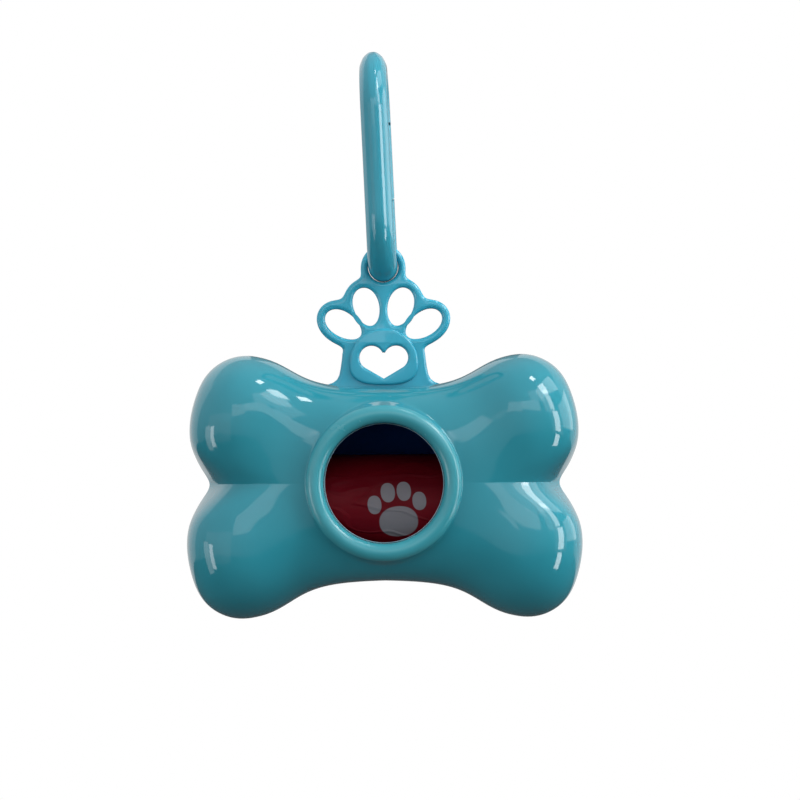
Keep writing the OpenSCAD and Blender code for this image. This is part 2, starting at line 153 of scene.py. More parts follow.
def barrel_depth(x, y, z, s):
    """The same for the barrel that joins the lobes."""
    across = (np.abs(z - BARREL_MID_Z) / (HALF_WAIST - s)) ** BARREL_SIDE_POWER
    depth = HALF_DEPTH - s - END_LOSS * (x / BARREL_L) ** 2
    side = (across + (np.abs(y) / depth) ** BARREL_SIDE_POWER) ** (1 / BARREL_SIDE_POWER)
    end = (np.abs(x) / (BARREL_L - s)) ** BARREL_END_POWER
    return (1 - (end + side ** BARREL_END_POWER) ** (1 / BARREL_END_POWER)) * (HALF_WAIST - s)


def crease(x, y, z):
    """Depth of the groove that runs in from each end between the lobes; it fades towards the rim."""
    wedge = CREASE_DEPTH / CREASE_L * (np.abs(x) - BARREL_L + CREASE_L) - CREASE_FLANK * np.abs(z)
    return soft_max(wedge, 0, CREASE_ROUND) * np.clip(np.abs(y) / CREASE_FULL_Y, 0, 1)


def case_field(x, y, z, s):
    """Depth of points inside the case, inset by s; zero on its surface."""
    up = lobe_depth(np.abs(x), y, z, UPPER_LOBE, s)
    low = lobe_depth(np.abs(x), y, z, LOWER_LOBE, s)
    lobes = soft_max(up, low, VALLEY_BLEND)
    return soft_max(lobes, barrel_depth(x, y, z, s), FLANK_BLEND) - crease(x, y, z)


def surface(inside, shape, far, steps=28):
    """How far each ray runs before it leaves what the function inside describes."""
    near = np.zeros(shape)
    far = np.full(shape, float(far))
    for _ in range(steps):
        middle = (near + far) / 2
        hit = inside(middle) > 0
        near = np.where(hit, middle, near)
        far = np.where(hit, far, middle)
    return (near + far) / 2


def reach(t, y, s):
    """Distance from the middle to the surface towards angles t, at depth y."""
    return surface(lambda r: case_field(r * np.cos(t), y, r * np.sin(t), s), t.shape, REACH_LIMIT)


def dome(x, z, s):
    """Depth of the dome over points x, z."""
    return surface(lambda y: case_field(x, y, z, s), x.shape, DEPTH_LIMIT)


def dome_at(x, s):
    """Depth of the dome at one place of its middle line."""
    return float(dome(np.array([x], float), np.zeros(1), s)[0])


LAND_Y = dome_at(LAND_EDGE_R, 0) + LAND_RISE
CASE_TOP = float(reach(np.array([math.pi / 2]), 0, 0)[0])


def smooth_by_angle(mesh, degrees):
    mesh.polygons.foreach_set("use_smooth", np.ones(len(mesh.polygons), bool))
    mesh.set_sharp_from_angle(angle=math.radians(degrees))


def new_object(name, points, faces):
    """A closed mesh whose faces all look outwards, from points in millimetres."""
    mesh = bpy.data.meshes.new(name)
    mesh.from_pydata((np.asarray(points) * MM).tolist(), [], faces)
    shape = bmesh.new()
    shape.from_mesh(mesh)
    bmesh.ops.recalc_face_normals(shape, faces=shape.faces)
    shape.to_mesh(mesh)
    shape.free()
    obj = bpy.data.objects.new(name, mesh)
    bpy.context.scene.collection.objects.link(obj)
    return obj


def finish_piece(obj, body, material, replaced, sharp=40):
    """Smooths a piece, gives it its material, says which body it rides and hides the parts that it stands
    for.
    """
    smooth_by_angle(obj.data, sharp)
    obj.data.materials.clear()
    obj.data.materials.append(material)
    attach(obj, body)
    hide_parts(*replaced)


def mark(obj, name, first, last):
    """Tells the material which points lie on a part of the piece, as an attribute."""
    share = np.zeros(len(obj.data.vertices))
    share[first:last] = 1
    obj.data.attributes.new(name, "FLOAT", "POINT").data.foreach_set("value", share)


def stitch(rows, columns, closed=False, first=0):
    """Quads between neighbouring rows of points, each row a closed ring."""
    i = np.arange(columns)
    j = (i + 1) % columns
    faces = []
    for a in range(rows if closed else rows - 1):
        b = (a + 1) % rows
        quads = np.stack([a * columns + i, a * columns + j, b * columns + j, b * columns + i], 1)
        faces += (quads + first).tolist()
    return faces


# The two halves of the case, as rings of points round the middle
LAND_ROWS = 4
SKIRT_ROWS = 28
OUTER_ROWS = 96
INNER_ROWS = 40
OUTER_SHARES = np.arange(1, OUTER_ROWS + 1) / OUTER_ROWS
COLUMNS = 512
COLUMN_WARP = math.radians(13)
turn = np.arange(COLUMNS) * 2 * math.pi / COLUMNS
angles = turn - COLUMN_WARP * np.sin(2 * turn)


def ring_at(r, y):
    """One ring of points at radii r and depths y."""
    r = np.broadcast_to(np.asarray(r, float), angles.shape)
    y = np.broadcast_to(np.asarray(y, float), angles.shape)
    return np.stack([r * np.cos(angles), y, r * np.sin(angles)], 1)


def dome_rings(r0, y1, s, shares, depth):
    """Rings from radius r0 out to where the dome has depth y1."""
    rings = []
    edge = reach(angles, y1, s)
    for share in shares:
        r = r0 + (edge - r0) * math.sin(math.pi / 2 * share)
        y = y1 if share == 1 else depth(r * np.cos(angles), r * np.sin(angles), s)
        rings.append(ring_at(r, y))
    return rings


def rim_rings(y0):
    """The rounded edge where the outer face turns into the parting face at y0."""
    edge = reach(angles, y0 + RIM_ROUND, 0)
    return [
        ring_at(edge - RIM_ROUND * (1 - math.cos(a)), y0 + RIM_ROUND * (1 - math.sin(a)))
        for a in map(math.radians, RIM_TURNS)
    ]


def front_depth(x, z, s):
    """The front dome with the flat land that the ring sits on."""
    fall = LAND_Y - (np.hypot(x, z) - SKIRT_R) * SKIRT_STEEP
    land = -soft_max(-fall, -LAND_Y, LAND_ROUND)
    return soft_max(dome(x, z, s), land, SKIRT_BLEND)


def edge_line(s, y):
    """The case's outline at the parting plane, inset by s and moved to depth y."""
    return ring_at(reach(angles, 0, s), y)


def snap_lines(s, height):
    """The snap bead or its groove, round the tongue or the lip."""
    return [edge_line(s - bead, height * share) for share, bead in SNAP_LINES]


def front_rings():
    skirt_radii = np.concatenate([
        np.linspace(HOLE_R, LAND_LAST_R, LAND_ROWS),
        np.linspace(SKIRT_INNER_R, SKIRT_OUTER_R, SKIRT_ROWS),
    ])
    rings = [
        ring_at(r, front_depth(r * np.cos(angles), r * np.sin(angles), 0))
        for r in skirt_radii
    ]
    rings += dome_rings(SKIRT_OUTER_R, PARTING_GAP + RIM_ROUND, 0, OUTER_SHARES, front_depth)
    rings += rim_rings(PARTING_GAP)
    rings += [edge_line(LIP_T, PARTING_GAP), *snap_lines(LIP_T, TONGUE_H), edge_line(LIP_T, LIP_DEPTH)]
    rings += dome_rings(HOLE_R, LIP_DEPTH, WALL, np.arange(INNER_ROWS, -1, -1) / INNER_ROWS, dome)
    return rings


def rear_rings():
    rings = dome_rings(0, RIM_ROUND, 0, OUTER_SHARES, dome)
    rings += rim_rings(0)
    tongue_s = LIP_T + TONGUE_GAP
    rings += [edge_line(tongue_s, 0), *snap_lines(tongue_s, -TONGUE_H)]
    rings += [edge_line(tongue_s + TONGUE_CHAMFER, -TONGUE_H), edge_line(WALL, -TONGUE_H)]
    rings += dome_rings(0, 0, WALL, np.arange(INNER_ROWS, 0, -1) / INNER_ROWS, dome)
    return rings


def to_world(points, flip=False):
    """Points of the case in the shared frame; flip turns depth towards the viewer."""
    points = np.asarray(points, float).reshape(-1, 3).copy()
    if flip:
        points[:, 1] *= -1
    return points + np.array(CASE)


def front_case():
    rings = front_rings()
    obj = new_object("front_case", to_world(rings, True), stitch(len(rings), COLUMNS, True))
    # The inner rows are marked so that the material paints them deep blue, as the shade inside the case.
    mark(obj, "inside", (len(rings) - INNER_ROWS - 1) * COLUMNS, len(rings) * COLUMNS)
    return obj


# The paw-shaped hanger: its outline is where a flat distance field is zero
PLATE_T = 2.4
EYE_R = 3.4
RIM_W = 1.6
TOE_RIM_W = 1.85
TOES = [
    {"x": 3.8, "z": EYE_Z - 8.9, "size": (2.85, 4.4), "lean": 16, "egg": 0.1},
    {"x": 9.0, "z": EYE_Z - 12.9, "size": (2.75, 4.55), "lean": 56, "egg": 0.1},
]
HEART_R = 2.7
HEART_PLACE = (2.75, CASE_TOP + 7.05)
HEART_TIP = (0.0, CASE_TOP + 2.3)
HEART_CLEFT = 1.2
PAD_HALF_W = 7.7
PAD_UP = 8.0
PAD_DOWN = 4.65
PAD_UP_POWER = 2.1
PAD_DOWN_POWER = 2.7
PAD_LIFT = 0.85
PAD_MID_Z = CASE_TOP + PAD_LIFT + PAD_DOWN
PAD_RAISE = 0.7
PAD_SINK = 0.5
NECK_FOOT = [
    (0, -0.7), (11.2, -0.7), (12.6, 1.1), (11.4, 1.5),
    (10.5, 2.2), (10, 3.2), (9.7, 4.7), (9.2, 7.9),
]
NECK_HEAD = [(8.4, -17.9), (5, -10.5), (0, -4.5)]
PLATE_ROUND = 0.85
PAD_ROUND = 0.6
PAD_BACK_ROUND = 0.1
EDGE_TURNS = (90, 70, 50, 32, 15, 0)
JOIN_BLEND = 0.9
GRID_STEP = 0.12
OUTLINE_STEP = 0.2
HANGER_LOW = (-17, CASE_TOP - 2)
HANGER_HIGH = (17, EYE_Z + 7)


def far_from_polygon(x, z, corners):
    """Signed distance from points to a polygon, negative inside."""
    corners = np.asarray(corners, float)
    best = np.full(x.shape, np.inf)
    inside = np.zeros(x.shape, bool)
    for (ax, az), (bx, bz) in zip(corners, np.roll(corners, -1, 0)):
        ex, ez = bx - ax, bz - az
        along = np.clip(((x - ax) * ex + (z - az) * ez) / (ex * ex + ez * ez), 0, 1)
        best = np.minimum(best, np.hypot(x - ax - ex * along, z - az - ez * along))
        if az != bz:
            crosses = ((z >= az) != (z >= bz)) & (x < ax + ex * (z - az) / ez)
            inside ^= crosses
    return np.where(inside, -best, best)


def far_from_oval(x, z, toe, grow):
    """Signed distance, nearly, to a toe's leaning egg, grown outwards."""
    lean = math.radians(toe["lean"])
    u = (x - toe["x"]) * math.cos(lean) - (z - toe["z"]) * math.sin(lean)
    v = (x - toe["x"]) * math.sin(lean) + (z - toe["z"]) * math.cos(lean)
    wide, long = toe["size"][0] + grow, toe["size"][1] + grow
    u = u / (1 + toe["egg"] * v / long)
    ratio = np.hypot(u / wide, v / long)
    slope = np.hypot(u / wide**2, v / long**2) + 1e-9
    return ratio * (ratio - 1) / slope


def far_from_heart(x, z):
    """Signed distance to the heart: two rounds, and a wedge from them to the tip."""
    place, tip = np.array(HEART_PLACE), np.array(HEART_TIP)
    away = np.linalg.norm(place - tip)
    swing = math.acos(HEART_R / away)
    base = math.atan2(tip[1] - place[1], tip[0] - place[0])
    touch = place + HEART_R * np.array([math.cos(base + swing), math.sin(base + swing)])
    left = [(-touch[0], touch[1]), (-place[0], place[1])]
    wedge = [tuple(tip), tuple(touch), tuple(place), (0, place[1] + HEART_CLEFT), left[1], left[0]]
    rounds = np.hypot(np.abs(x) - place[0], z - place[1]) - HEART_R
    return np.minimum(rounds, far_from_polygon(x, z, wedge))


def far_from_pad(x, z):
    """Signed distance, nearly, to the pad's outline, which is rounder above than below."""
    v = z - PAD_MID_Z
    high = np.where(v > 0, PAD_UP, PAD_DOWN)
    power = np.where(v > 0, PAD_UP_POWER, PAD_DOWN_POWER)
    ratio = (np.abs(x / PAD_HALF_W) ** power + np.abs(v / high) ** power) ** (1 / power)
    return (ratio - 1) * np.hypot(x, v) / np.maximum(ratio, 1e-6)


def plate_field(x, z):
    """Signed distance to the hanger's flat outline."""
    half = [(px, pz + CASE_TOP) for px, pz in NECK_FOOT] + [(px, pz + EYE_Z) for px, pz in NECK_HEAD]
    other = [(-px, pz) for px, pz in reversed(half) if px > 0]
    shape = far_from_polygon(x, z, half + other)
    shape = soft_min(shape, np.hypot(x, z - EYE_Z) - EYE_R - RIM_W, JOIN_BLEND)
    holes = np.minimum(np.hypot(x, z - EYE_Z) - EYE_R, far_from_heart(x, z))
    for toe in TOES:
        shape = soft_min(shape, far_from_oval(np.abs(x), z, toe, TOE_RIM_W), JOIN_BLEND)
        holes = np.minimum(holes, far_from_oval(np.abs(x), z, toe, 0))
    return np.maximum(shape, -holes)


def pad_field(x, z):
    """Signed distance to the raised pad, with the heart cut out."""
    return np.maximum(far_from_pad(x, z), -far_from_heart(x, z))


def trace(field):
    """Closed loops of points where the field is zero, found on a square grid over the hanger."""
    xs, zs = (np.arange(low, high, GRID_STEP) for low, high in zip(HANGER_LOW, HANGER_HIGH))
    value = field(*np.meshgrid(xs, zs, indexing="ij"))
    inside = value < 0
    mixed = inside[:-1, :-1] + 0 + inside[1:, :-1] + inside[1:, 1:] + inside[:-1, 1:]
    links, places = {}, {}
    for i, j in np.argwhere((mixed > 0) & (mixed < 4)):
        corners = [(i, j), (i + 1, j), (i + 1, j + 1), (i, j + 1)]
        leaving, entering = [], []
        for a, b in zip(corners, corners[1:] + corners[:1]):
            if inside[a] == inside[b]:
                continue
            key = (min(a, b), max(a, b))
            share = value[a] / (value[a] - value[b])
            places[key] = (
                xs[a[0]] + share * (xs[b[0]] - xs[a[0]]),
                zs[a[1]] + share * (zs[b[1]] - zs[a[1]]),
            )
            (leaving if inside[a] else entering).append(key)
        for start, end in zip(leaving, entering):
            links[start] = end
    loops = []
    while links:
        first, key = links.popitem()
        loop = [places[first]]
        while key != first:
            loop.append(places[key])
            key = links.pop(key)
        loops.append(np.array(loop))
    return loops


def even_loop(loop, field):
    """The loop with evenly spaced points laid exactly on the outline, and its outward normals."""
    closed = np.vstack([loop, loop[:1]])
    length = np.concatenate([[0], np.cumsum(np.hypot(*np.diff(closed, axis=0).T))])
    count = max(16, round(length[-1] / OUTLINE_STEP))
    want = np.arange(count) * length[-1] / count
    x, z = (np.interp(want, length, closed[:, k]) for k in (0, 1))
    tiny = 1e-3
    for _ in range(3):
        gx = (field(x + tiny, z) - field(x - tiny, z)) / (2 * tiny)
        gz = (field(x, z + tiny) - field(x, z - tiny)) / (2 * tiny)
        size = np.maximum(np.hypot(gx, gz), 0.2)
        off = np.clip(field(x, z), -GRID_STEP, GRID_STEP) / size**2
        x, z = x - gx * off, z - gz * off
    normal = np.stack([gx, gz], 1) / np.maximum(np.hypot(gx, gz), 1e-6)[:, None]
    for _ in range(2):
        normal = normal + np.roll(normal, 1, 0) + np.roll(normal, -1, 0)
        normal /= np.linalg.norm(normal, axis=1)[:, None]
    return np.stack([x, z], 1), normal


def slab(field, y0, y1, front_round, back_round):
    """A plate with the field's outline from y0 to y1 and rounded edges, as points and faces."""
    points, faces = [], []
    caps = {0: [], 1: []}
    turns = [(1 - math.cos(a), 1 - math.sin(a)) for a in map(math.radians, EDGE_TURNS)]
    rows = [(front_round * inset, y0 + front_round * drop) for inset, drop in turns]
    rows += [(back_round * inset, y1 - back_round * drop) for inset, drop in reversed(turns)]
    for loop in trace(field):
        flat, normal = even_loop(loop, field)
        first = len(points)
        for inset, y in rows:
            moved = flat - normal * inset
            points += [(px, y, pz) for px, pz in moved]
        faces += stitch(len(rows), len(flat), first=first)
        caps[0].append(range(first, first + len(flat)))
        caps[1].append(range(len(points) - len(flat), len(points)))
    for loops in caps.values():
        order = [k for loop in loops for k in loop]
        outline = [[Vector((points[k][0], points[k][2], 0)) for k in loop] for loop in loops]
        faces += [[order[k] for k in face] for face in tessellate_polygon(outline)]
    return points, faces


def rear_case():
    rings = rear_rings()
    count = len(rings)
    points = [tuple(p) for ring in rings for p in ring]
    inner_tip, outer_tip = len(points), len(points) + 1
    points += [(0, dome_at(0, s), 0) for s in (WALL, 0)]
    faces = stitch(count, COLUMNS)
    last = (count - 1) * COLUMNS
    for i in range(COLUMNS):
        j = (i + 1) % COLUMNS
        faces += [[inner_tip, last + i, last + j], [outer_tip, j, i]]
    for more_points, more_faces in (
        slab(plate_field, 0, PLATE_T, PLATE_ROUND, PLATE_ROUND),
        slab(pad_field, -PAD_RAISE, PAD_SINK, PAD_ROUND, PAD_BACK_ROUND),
    ):
        shift = len(points)
        points += more_points
        faces += [[k + shift for k in face] for face in more_faces]
    obj = new_object("rear_case", to_world(points), faces)
    # The inner rows are marked so that the material paints them deep blue, as the shade inside the case.
    mark(obj, "inside", (count - INNER_ROWS) * COLUMNS, inner_tip + 1)
    # The hanger's points are marked so that the material paints them lighter and bluer, as light shining
    # through the thin plate.
    mark(obj, "hanger", outer_tip + 1, len(points))
    return obj


def revolve(profile, steps=256):
    """Closed profile of radius and depth, turned about the outlet's axis."""
    i = np.arange(steps) * 2 * math.pi / steps
    rings = [np.stack([r * np.cos(i), np.full(steps, y), r * np.sin(i)], 1) for r, y in profile]
    return rings, stitch(len(profile), steps, True)


def arc(cx, cy, r, a0, a1, steps):
    """Points of an arc, its angles in degrees."""
    return [
        (cx + r * math.cos(math.radians(a)), cy + r * math.sin(math.radians(a)))
        for a in np.linspace(a0, a1, steps)
    ]


def outlet_bead():
    """The ring: a round bead in front, and a collar whose end is rounded."""
    round_y = COLLAR_END_Y + COLLAR_ROUND
    profile = arc(BEAD_MID_R, LAND_Y, BEAD_R, 0, 180, 48)
    profile += [(RING_BORE_R, LAND_Y - COLLAR_TOP), (RING_BORE_R, round_y + EDGE_T)]
    edge = len(profile)
    profile += [(RING_END_R + EDGE_STEP, round_y + EDGE_T)]
    profile += arc(RING_END_R + COLLAR_ROUND, round_y, COLLAR_ROUND, 180, 270, 8)
    profile += arc(COLLAR_R - COLLAR_ROUND, round_y, COLLAR_ROUND, 270, 360, 8)
    profile += [(COLLAR_R, LAND_Y)]
    rings, faces = revolve(profile)
    obj = new_object("outlet_bead", to_world(rings, True), faces)
    # The first rows at the collar's inner end are marked so that the material paints them pale, as a thin
    # highlight on the edge.
    mark(obj, "edge", edge * len(rings[0]), (edge + EDGE_HIGHLIGHT_ROWS) * len(rings[0]))
    return obj


# The clip, in its own upright frame with the inside top at the origin
BAR_T = 6.5
BAR_W = 6.3
HALF_BAR = BAR_T / 2
CLIP_H = 51.8
SECTION_R = 3.35
SECTION_SOFT = 0.11
SECTION_FACES = [(3.25, 0), (3.04, 38), (2.86, 64), (3.06, 90), (3.25, 180)]
SECTION_LIMIT = 5
ROUND_R = 3.3
hinge_axis = Vector(joints["gate_hinge"]["axis"])
CLIP_TURN = math.asin(hinge_axis.y)
CLIP_LEAN = math.atan2(hinge_axis.z, hinge_axis.x)
CLIP_POSE = Matrix.Rotation(-CLIP_LEAN, 4, "Y") @ Matrix.Rotation(CLIP_TURN, 4, "Z")
pin_place = CLIP_POSE.inverted() @ joint_place("gate_hinge")
BEND_R = pin_place.y
PIN_Z = pin_place.z
PIN_R = 1.0
TOP_BEND_Z = HALF_BAR - BEND_R
LOW_BEND_Z = BEND_R - (CLIP_H - BAR_T - HALF_BAR)
FORK_W = 3.2
KNUCKLE_W = 3.0
EAR_GAP = 0.35
GATE_TIP_Z = TOP_BEND_Z - 0.7
LAP_Z = GATE_TIP_Z - 4.0
GATE_GAP = 0.5
LAP_GAP = 0.1
KNUCKLE_R = HALF_BAR - 0.05
KNUCKLE_NECK = 1.2
PIN_BORE_R = PIN_R + 0.05
LIMB_END_Z = PIN_Z + HALF_BAR + 0.4
EAR_FAR_Z = PIN_Z + HALF_BAR + 2
GATE_FOOT_Z = PIN_Z + 0.5
SPARE = 1.0
CUT_INNER_Y = BEND_R - HALF_BAR - SPARE
CUT_OUTER_Y = BEND_R + HALF_BAR + SPARE


def bar_field(u, v):
    """Distance to the bar's section: a circle cut by flat faces at angles from the outward direction."""
    shape = np.hypot(u, v) - SECTION_R
    for reach_out, a in SECTION_FACES:
        a = math.radians(a)
        shape = soft_max(shape, u * math.cos(a) + v * math.sin(a) - reach_out, SECTION_SOFT)
    return shape


def bar_section(steps=60):
    """Corners of the section, from its outer face round to the flat back and again to the front."""
    a = (np.arange(steps) + 0.5) * math.pi / steps
    r = surface(lambda r: -bar_field(r * np.cos(a), r * np.sin(a)), a.shape, SECTION_LIMIT, steps=24)
    a = np.concatenate([a, -a[::-1]])
    return np.concatenate([r, r[::-1]]), np.cos(a), np.sin(a)


def bar(stations):
    """The bar along stations: each a place in the clip's plane, an outward angle and a roundness."""
    section, section_u, section_v = bar_section()
    points = []
    for y, z, a, round_share in stations:
        out_y, out_z = math.cos(math.radians(a)), math.sin(math.radians(a))
        r = section + (ROUND_R - section) * round_share
        points += [(v, y + u * out_y, z + u * out_z) for u, v in zip(r * section_u, r * section_v)]
    count = len(section)
    faces = stitch(len(stations), count)
    faces += [list(range(count)), list(range(len(points) - count, len(points)))]
    return points, faces


def bend_stations(z, a0, a1, steps=72, roundness=0):
    """Half a turn of the clip; towards its middle the bar's section gets round by the roundness."""
    return [
        (BEND_R * math.cos(math.radians(a)), z + BEND_R * math.sin(math.radians(a)), a,
         roundness * math.sin(math.pi * share) ** 2)
        for share, a in zip(np.linspace(0, 1, steps), np.linspace(a0, a1, steps))
    ]


def limb_stations(y, a, z0, z1, steps):
    return [(y, z, a, 0) for z in np.linspace(z0, z1, steps)]


def prism(name, outline, half_w):
    """A cutter: an outline in the clip's plane, stretched across it."""
    count = len(outline)
    points = [(x, y, z) for x in (-half_w, half_w) for y, z in outline]
    faces = stitch(2, count) + [list(range(count)), list(range(count, 2 * count))]
    return new_object(name, points, faces)


def block(name, low, high):
    """A cutter with flat sides between two corners."""
    (x0, y0, z0), (x1, y1, z1) = low, high
    obj = prism(name, [(y0, z0), (y1, z0), (y1, z1), (y0, z1)], (x1 - x0) / 2)
    obj.data.transform(Matrix.Translation(Vector(((x0 + x1) / 2, 0, 0)) * MM))
    return obj


def carve(obj, tools, operation="DIFFERENCE"):
    """Cuts the tools out of a piece, or joins them to it, and removes them."""
    for tool in tools:
        step = obj.modifiers.new("carve", "BOOLEAN")
        step.operation = operation
        step.solver = "EXACT"
        step.object = tool
    graph = bpy.context.evaluated_depsgraph_get()
    done = bpy.data.meshes.new_from_object(obj.evaluated_get(graph))
    obj.modifiers.clear()
    obj.data = done
    for tool in tools:
        bpy.data.objects.remove(tool)


def hinge_arc(r, a0, a1, steps=48):
    return arc(BEND_R, PIN_Z, r, a0, a1, steps)


def clip_body():
    stations = limb_stations(BEND_R, 0, LAP_Z + GATE_GAP, TOP_BEND_Z, 12)[:-1]
    stations += bend_stations(TOP_BEND_Z, 0, 180)
    stations += limb_stations(-BEND_R, 180, TOP_BEND_Z, LOW_BEND_Z, 48)[1:-1]
    stations += bend_stations(LOW_BEND_Z, 180, 360, roundness=1)
    stations += limb_stations(BEND_R, 360, LOW_BEND_Z, LIMB_END_Z, 16)[1:]
    obj = new_object("clip_body", *bar(stations))
    beyond = [(CUT_OUTER_Y, z) for z in (PIN_Z, EAR_FAR_Z)] + [(CUT_INNER_Y, z) for z in (EAR_FAR_Z, PIN_Z)]
    carve(obj, [
        prism("ear_top", hinge_arc(HALF_BAR, 180, 0) + beyond, BAR_W),
        prism("slot", hinge_arc(HALF_BAR + EAR_GAP, 180, 360) + beyond, FORK_W / 2),
        prism("pin_hole", hinge_arc(PIN_R, 0, 360)[:-1], BAR_W),
        block("lap", (-BAR_W, CUT_INNER_Y, LAP_Z - SPARE), (BAR_W, BEND_R, TOP_BEND_Z)),
    ])
    return obj


def clip_gate():
    obj = new_object("clip_gate", *bar(limb_stations(BEND_R, 0, PIN_Z - SPARE, GATE_TIP_Z, 60)))
    carve(obj, [
        prism("round", hinge_arc(HALF_BAR + EAR_GAP, 0, 360, 96)[:-1], BAR_W),
        block("below", (-BAR_W, CUT_INNER_Y, PIN_Z - 3 * SPARE), (BAR_W, CUT_OUTER_Y, GATE_FOOT_Z)),
        block("lap", (-BAR_W, BEND_R - LAP_GAP, LAP_Z), (BAR_W, CUT_OUTER_Y, GATE_TIP_Z + SPARE)),
    ])
    neck = [(BEND_R - HALF_BAR + KNUCKLE_NECK, PIN_Z), (BEND_R + HALF_BAR - KNUCKLE_NECK, PIN_Z)]
    neck += [(y, EAR_FAR_Z) for y, z in reversed(neck)]
    carve(obj, [
        prism("knuckle", hinge_arc(KNUCKLE_R, 0, 360, 96)[:-1], KNUCKLE_W / 2),
        prism("neck", neck, KNUCKLE_W / 2),
    ], "UNION")
    carve(obj, [prism("pin_bore", hinge_arc(PIN_BORE_R, 0, 360)[:-1], BAR_W)] + spring_pocket())
    return obj


# The gate's spring, a wire coil round the pin with a leg down and a leg up
WIRE_R = 0.2
COIL_R = 1.65
COIL_TURNS = 2
COIL_PITCH = 0.45
SPRING_X = -1.2
SPRING_END_X = SPRING_X + COIL_PITCH * COIL_TURNS
FOOT_LEG = HALF_BAR + 2
GATE_LEG = HALF_BAR + 3
LEG_START = 0.6
COIL_ROOM = WIRE_R + 0.4
LEG_ROOM = WIRE_R + 0.25
LEG_END_ROOM = 0.3
POCKET_W = COIL_PITCH * COIL_TURNS + 2 * WIRE_R + 0.2 + SPARE


def spring_pocket():
    """Room in the gate for the coil and its legs, open at the knuckle's side."""
    edge = -KNUCKLE_W / 2 - SPARE
    coil = prism("coil_room", hinge_arc(COIL_R + COIL_ROOM, 0, 360)[:-1], POCKET_W / 2)
    coil.data.transform(Matrix.Translation(Vector((edge + POCKET_W / 2, 0, 0)) * MM))
    y1 = BEND_R - COIL_R + LEG_ROOM
    foot_low = (edge, CUT_INNER_Y, PIN_Z - HALF_BAR - SPARE)
    leg_low = (SPRING_END_X - LEG_ROOM, CUT_INNER_Y, PIN_Z)
    return [
        coil,
        block("foot_room", foot_low, (edge + POCKET_W, y1, PIN_Z)),
        block("leg_room", leg_low, (SPRING_END_X + LEG_ROOM, y1, PIN_Z + GATE_LEG + LEG_END_ROOM)),
    ]


def spring_wire(sides=12, steps=36):
    """A round wire along the foot leg, the coil and the gate leg."""
    line = [Vector((SPRING_X, -COIL_R, z)) for z in (-FOOT_LEG, -LEG_START)]
    for i in range(COIL_TURNS * steps + 1):
        a = 2 * math.pi * i / steps
        x = SPRING_X + COIL_PITCH * i / steps
        line.append(Vector((x, -COIL_R * math.cos(a), COIL_R * math.sin(a))))
    line += [Vector((SPRING_END_X, -COIL_R, z)) for z in (LEG_START, GATE_LEG)]
    points = []
    for i, place in enumerate(line):
        ahead = (line[min(i + 1, len(line) - 1)] - line[max(i - 1, 0)]).normalized()
        across = (Vector((1, 0, 0)) - ahead * ahead.x).normalized()
        up = ahead.cross(across)
        for k in range(sides):
            a = 2 * math.pi * k / sides
            spot = place + WIRE_R * (math.cos(a) * across + math.sin(a) * up)
            points.append((spot.x, spot.y + BEND_R, spot.z + PIN_Z))
    faces = stitch(len(line), sides)
    faces += [list(range(sides)), list(range(len(points) - sides, len(points)))]
    return new_object("gate_spring_wire", points, faces)


# The roll of bags: wound film whose outside wrinkles, round a paper core
CORE_R = 6.5
CORE_T = 1.2
CORE_CHAMFER = 0.15
FILM_STEP = 0.4
FILM_END = 250
FILM_BORE_R = CORE_R + 0.05
FILM_TURNS = 9
FIRST_TURN_R = CORE_R + 0.3
LAST_TURN_INSET = 0.2
TURN_GROOVE = 0.25
END_INSET = 0.05
BORE_INSET = 0.3
SIDE_INSET = 0.15
FILM_SHRINK = 0.12
SHOULDER_W = 0.8
SHOULDER_DROP = 0.25
RIPPLES = 14
RIPPLE_DEPTH = 0.12
RIPPLE_SEED = 5
ROLL_ROWS = 110
ROLL_STEPS = 360


def ripple(a, x):
    """Soft wrinkles of the film: a few slanted waves."""
    rng = np.random.default_rng(RIPPLE_SEED)
    total = np.zeros(np.broadcast(a, x).shape)
    for _ in range(RIPPLES):
        along = rng.uniform(0.05, 0.35)
        around = rng.integers(1, 9)
        phase = rng.uniform(0, 2 * math.pi)
        total = total + rng.uniform(0.3, 1) * np.sin(along * x + around * a + phase)
    return total / RIPPLES


def map_film(obj):
    """Lays the film flat as the mesh's map: millimetres along the roll, and round it from its front."""
    axis = joint_place("roll_spin")
    flat = []
    for vertex in obj.data.vertices:
        x, y, z = vertex.co / MM - axis
        flat.append((x, math.atan2(z, -y) * ROLL_R))
    spread = obj.data.uv_layers.new(name="flat_film").data
    for loop in obj.data.loops:
        spread[loop.index].uv = flat[loop.vertex_index]


def film_roll():
    """Rows along the roll, from the bore at one end round the outside to the other end."""
    share = np.arange(ROLL_STEPS + 1) / ROLL_STEPS
    a = share * 2 * math.pi + math.radians(FILM_END)
    bore = np.full(ROLL_STEPS + 1, FILM_BORE_R)
    outer = ROLL_R - FILM_STEP * share
    half = ROLL_L / 2
    end_rows = [(BORE_INSET, bore)]
    for k in range(1, 2 * FILM_TURNS):
        share_out = k / (2 * FILM_TURNS)
        radius = FIRST_TURN_R + (outer - LAST_TURN_INSET - FIRST_TURN_R) * share_out
        end_rows.append((END_INSET + (TURN_GROOVE if k % 2 else 0), radius))
    rows = [(inset - half, radius) for inset, radius in end_rows]
    for x in np.linspace(SIDE_INSET - half, half - SIDE_INSET, ROLL_ROWS):
        shoulder = max(0, 1 - (half - abs(x)) / SHOULDER_W)
        wrinkle = ripple(a, np.full(ROLL_STEPS + 1, x)) * RIPPLE_DEPTH
        rows.append((x, outer - FILM_SHRINK + wrinkle - SHOULDER_DROP * shoulder**2))
    rows += [(half - inset, radius) for inset, radius in reversed(end_rows)]
    points = [(x, r * math.cos(t), r * math.sin(t)) for x, radius in rows for r, t in zip(radius, a)]
    faces = stitch(len(rows), ROLL_STEPS + 1, True)
    place = np.array(joint_place("roll_spin"))
    obj = new_object("film_roll", np.array(points) + place, faces)
    map_film(obj)
    return obj


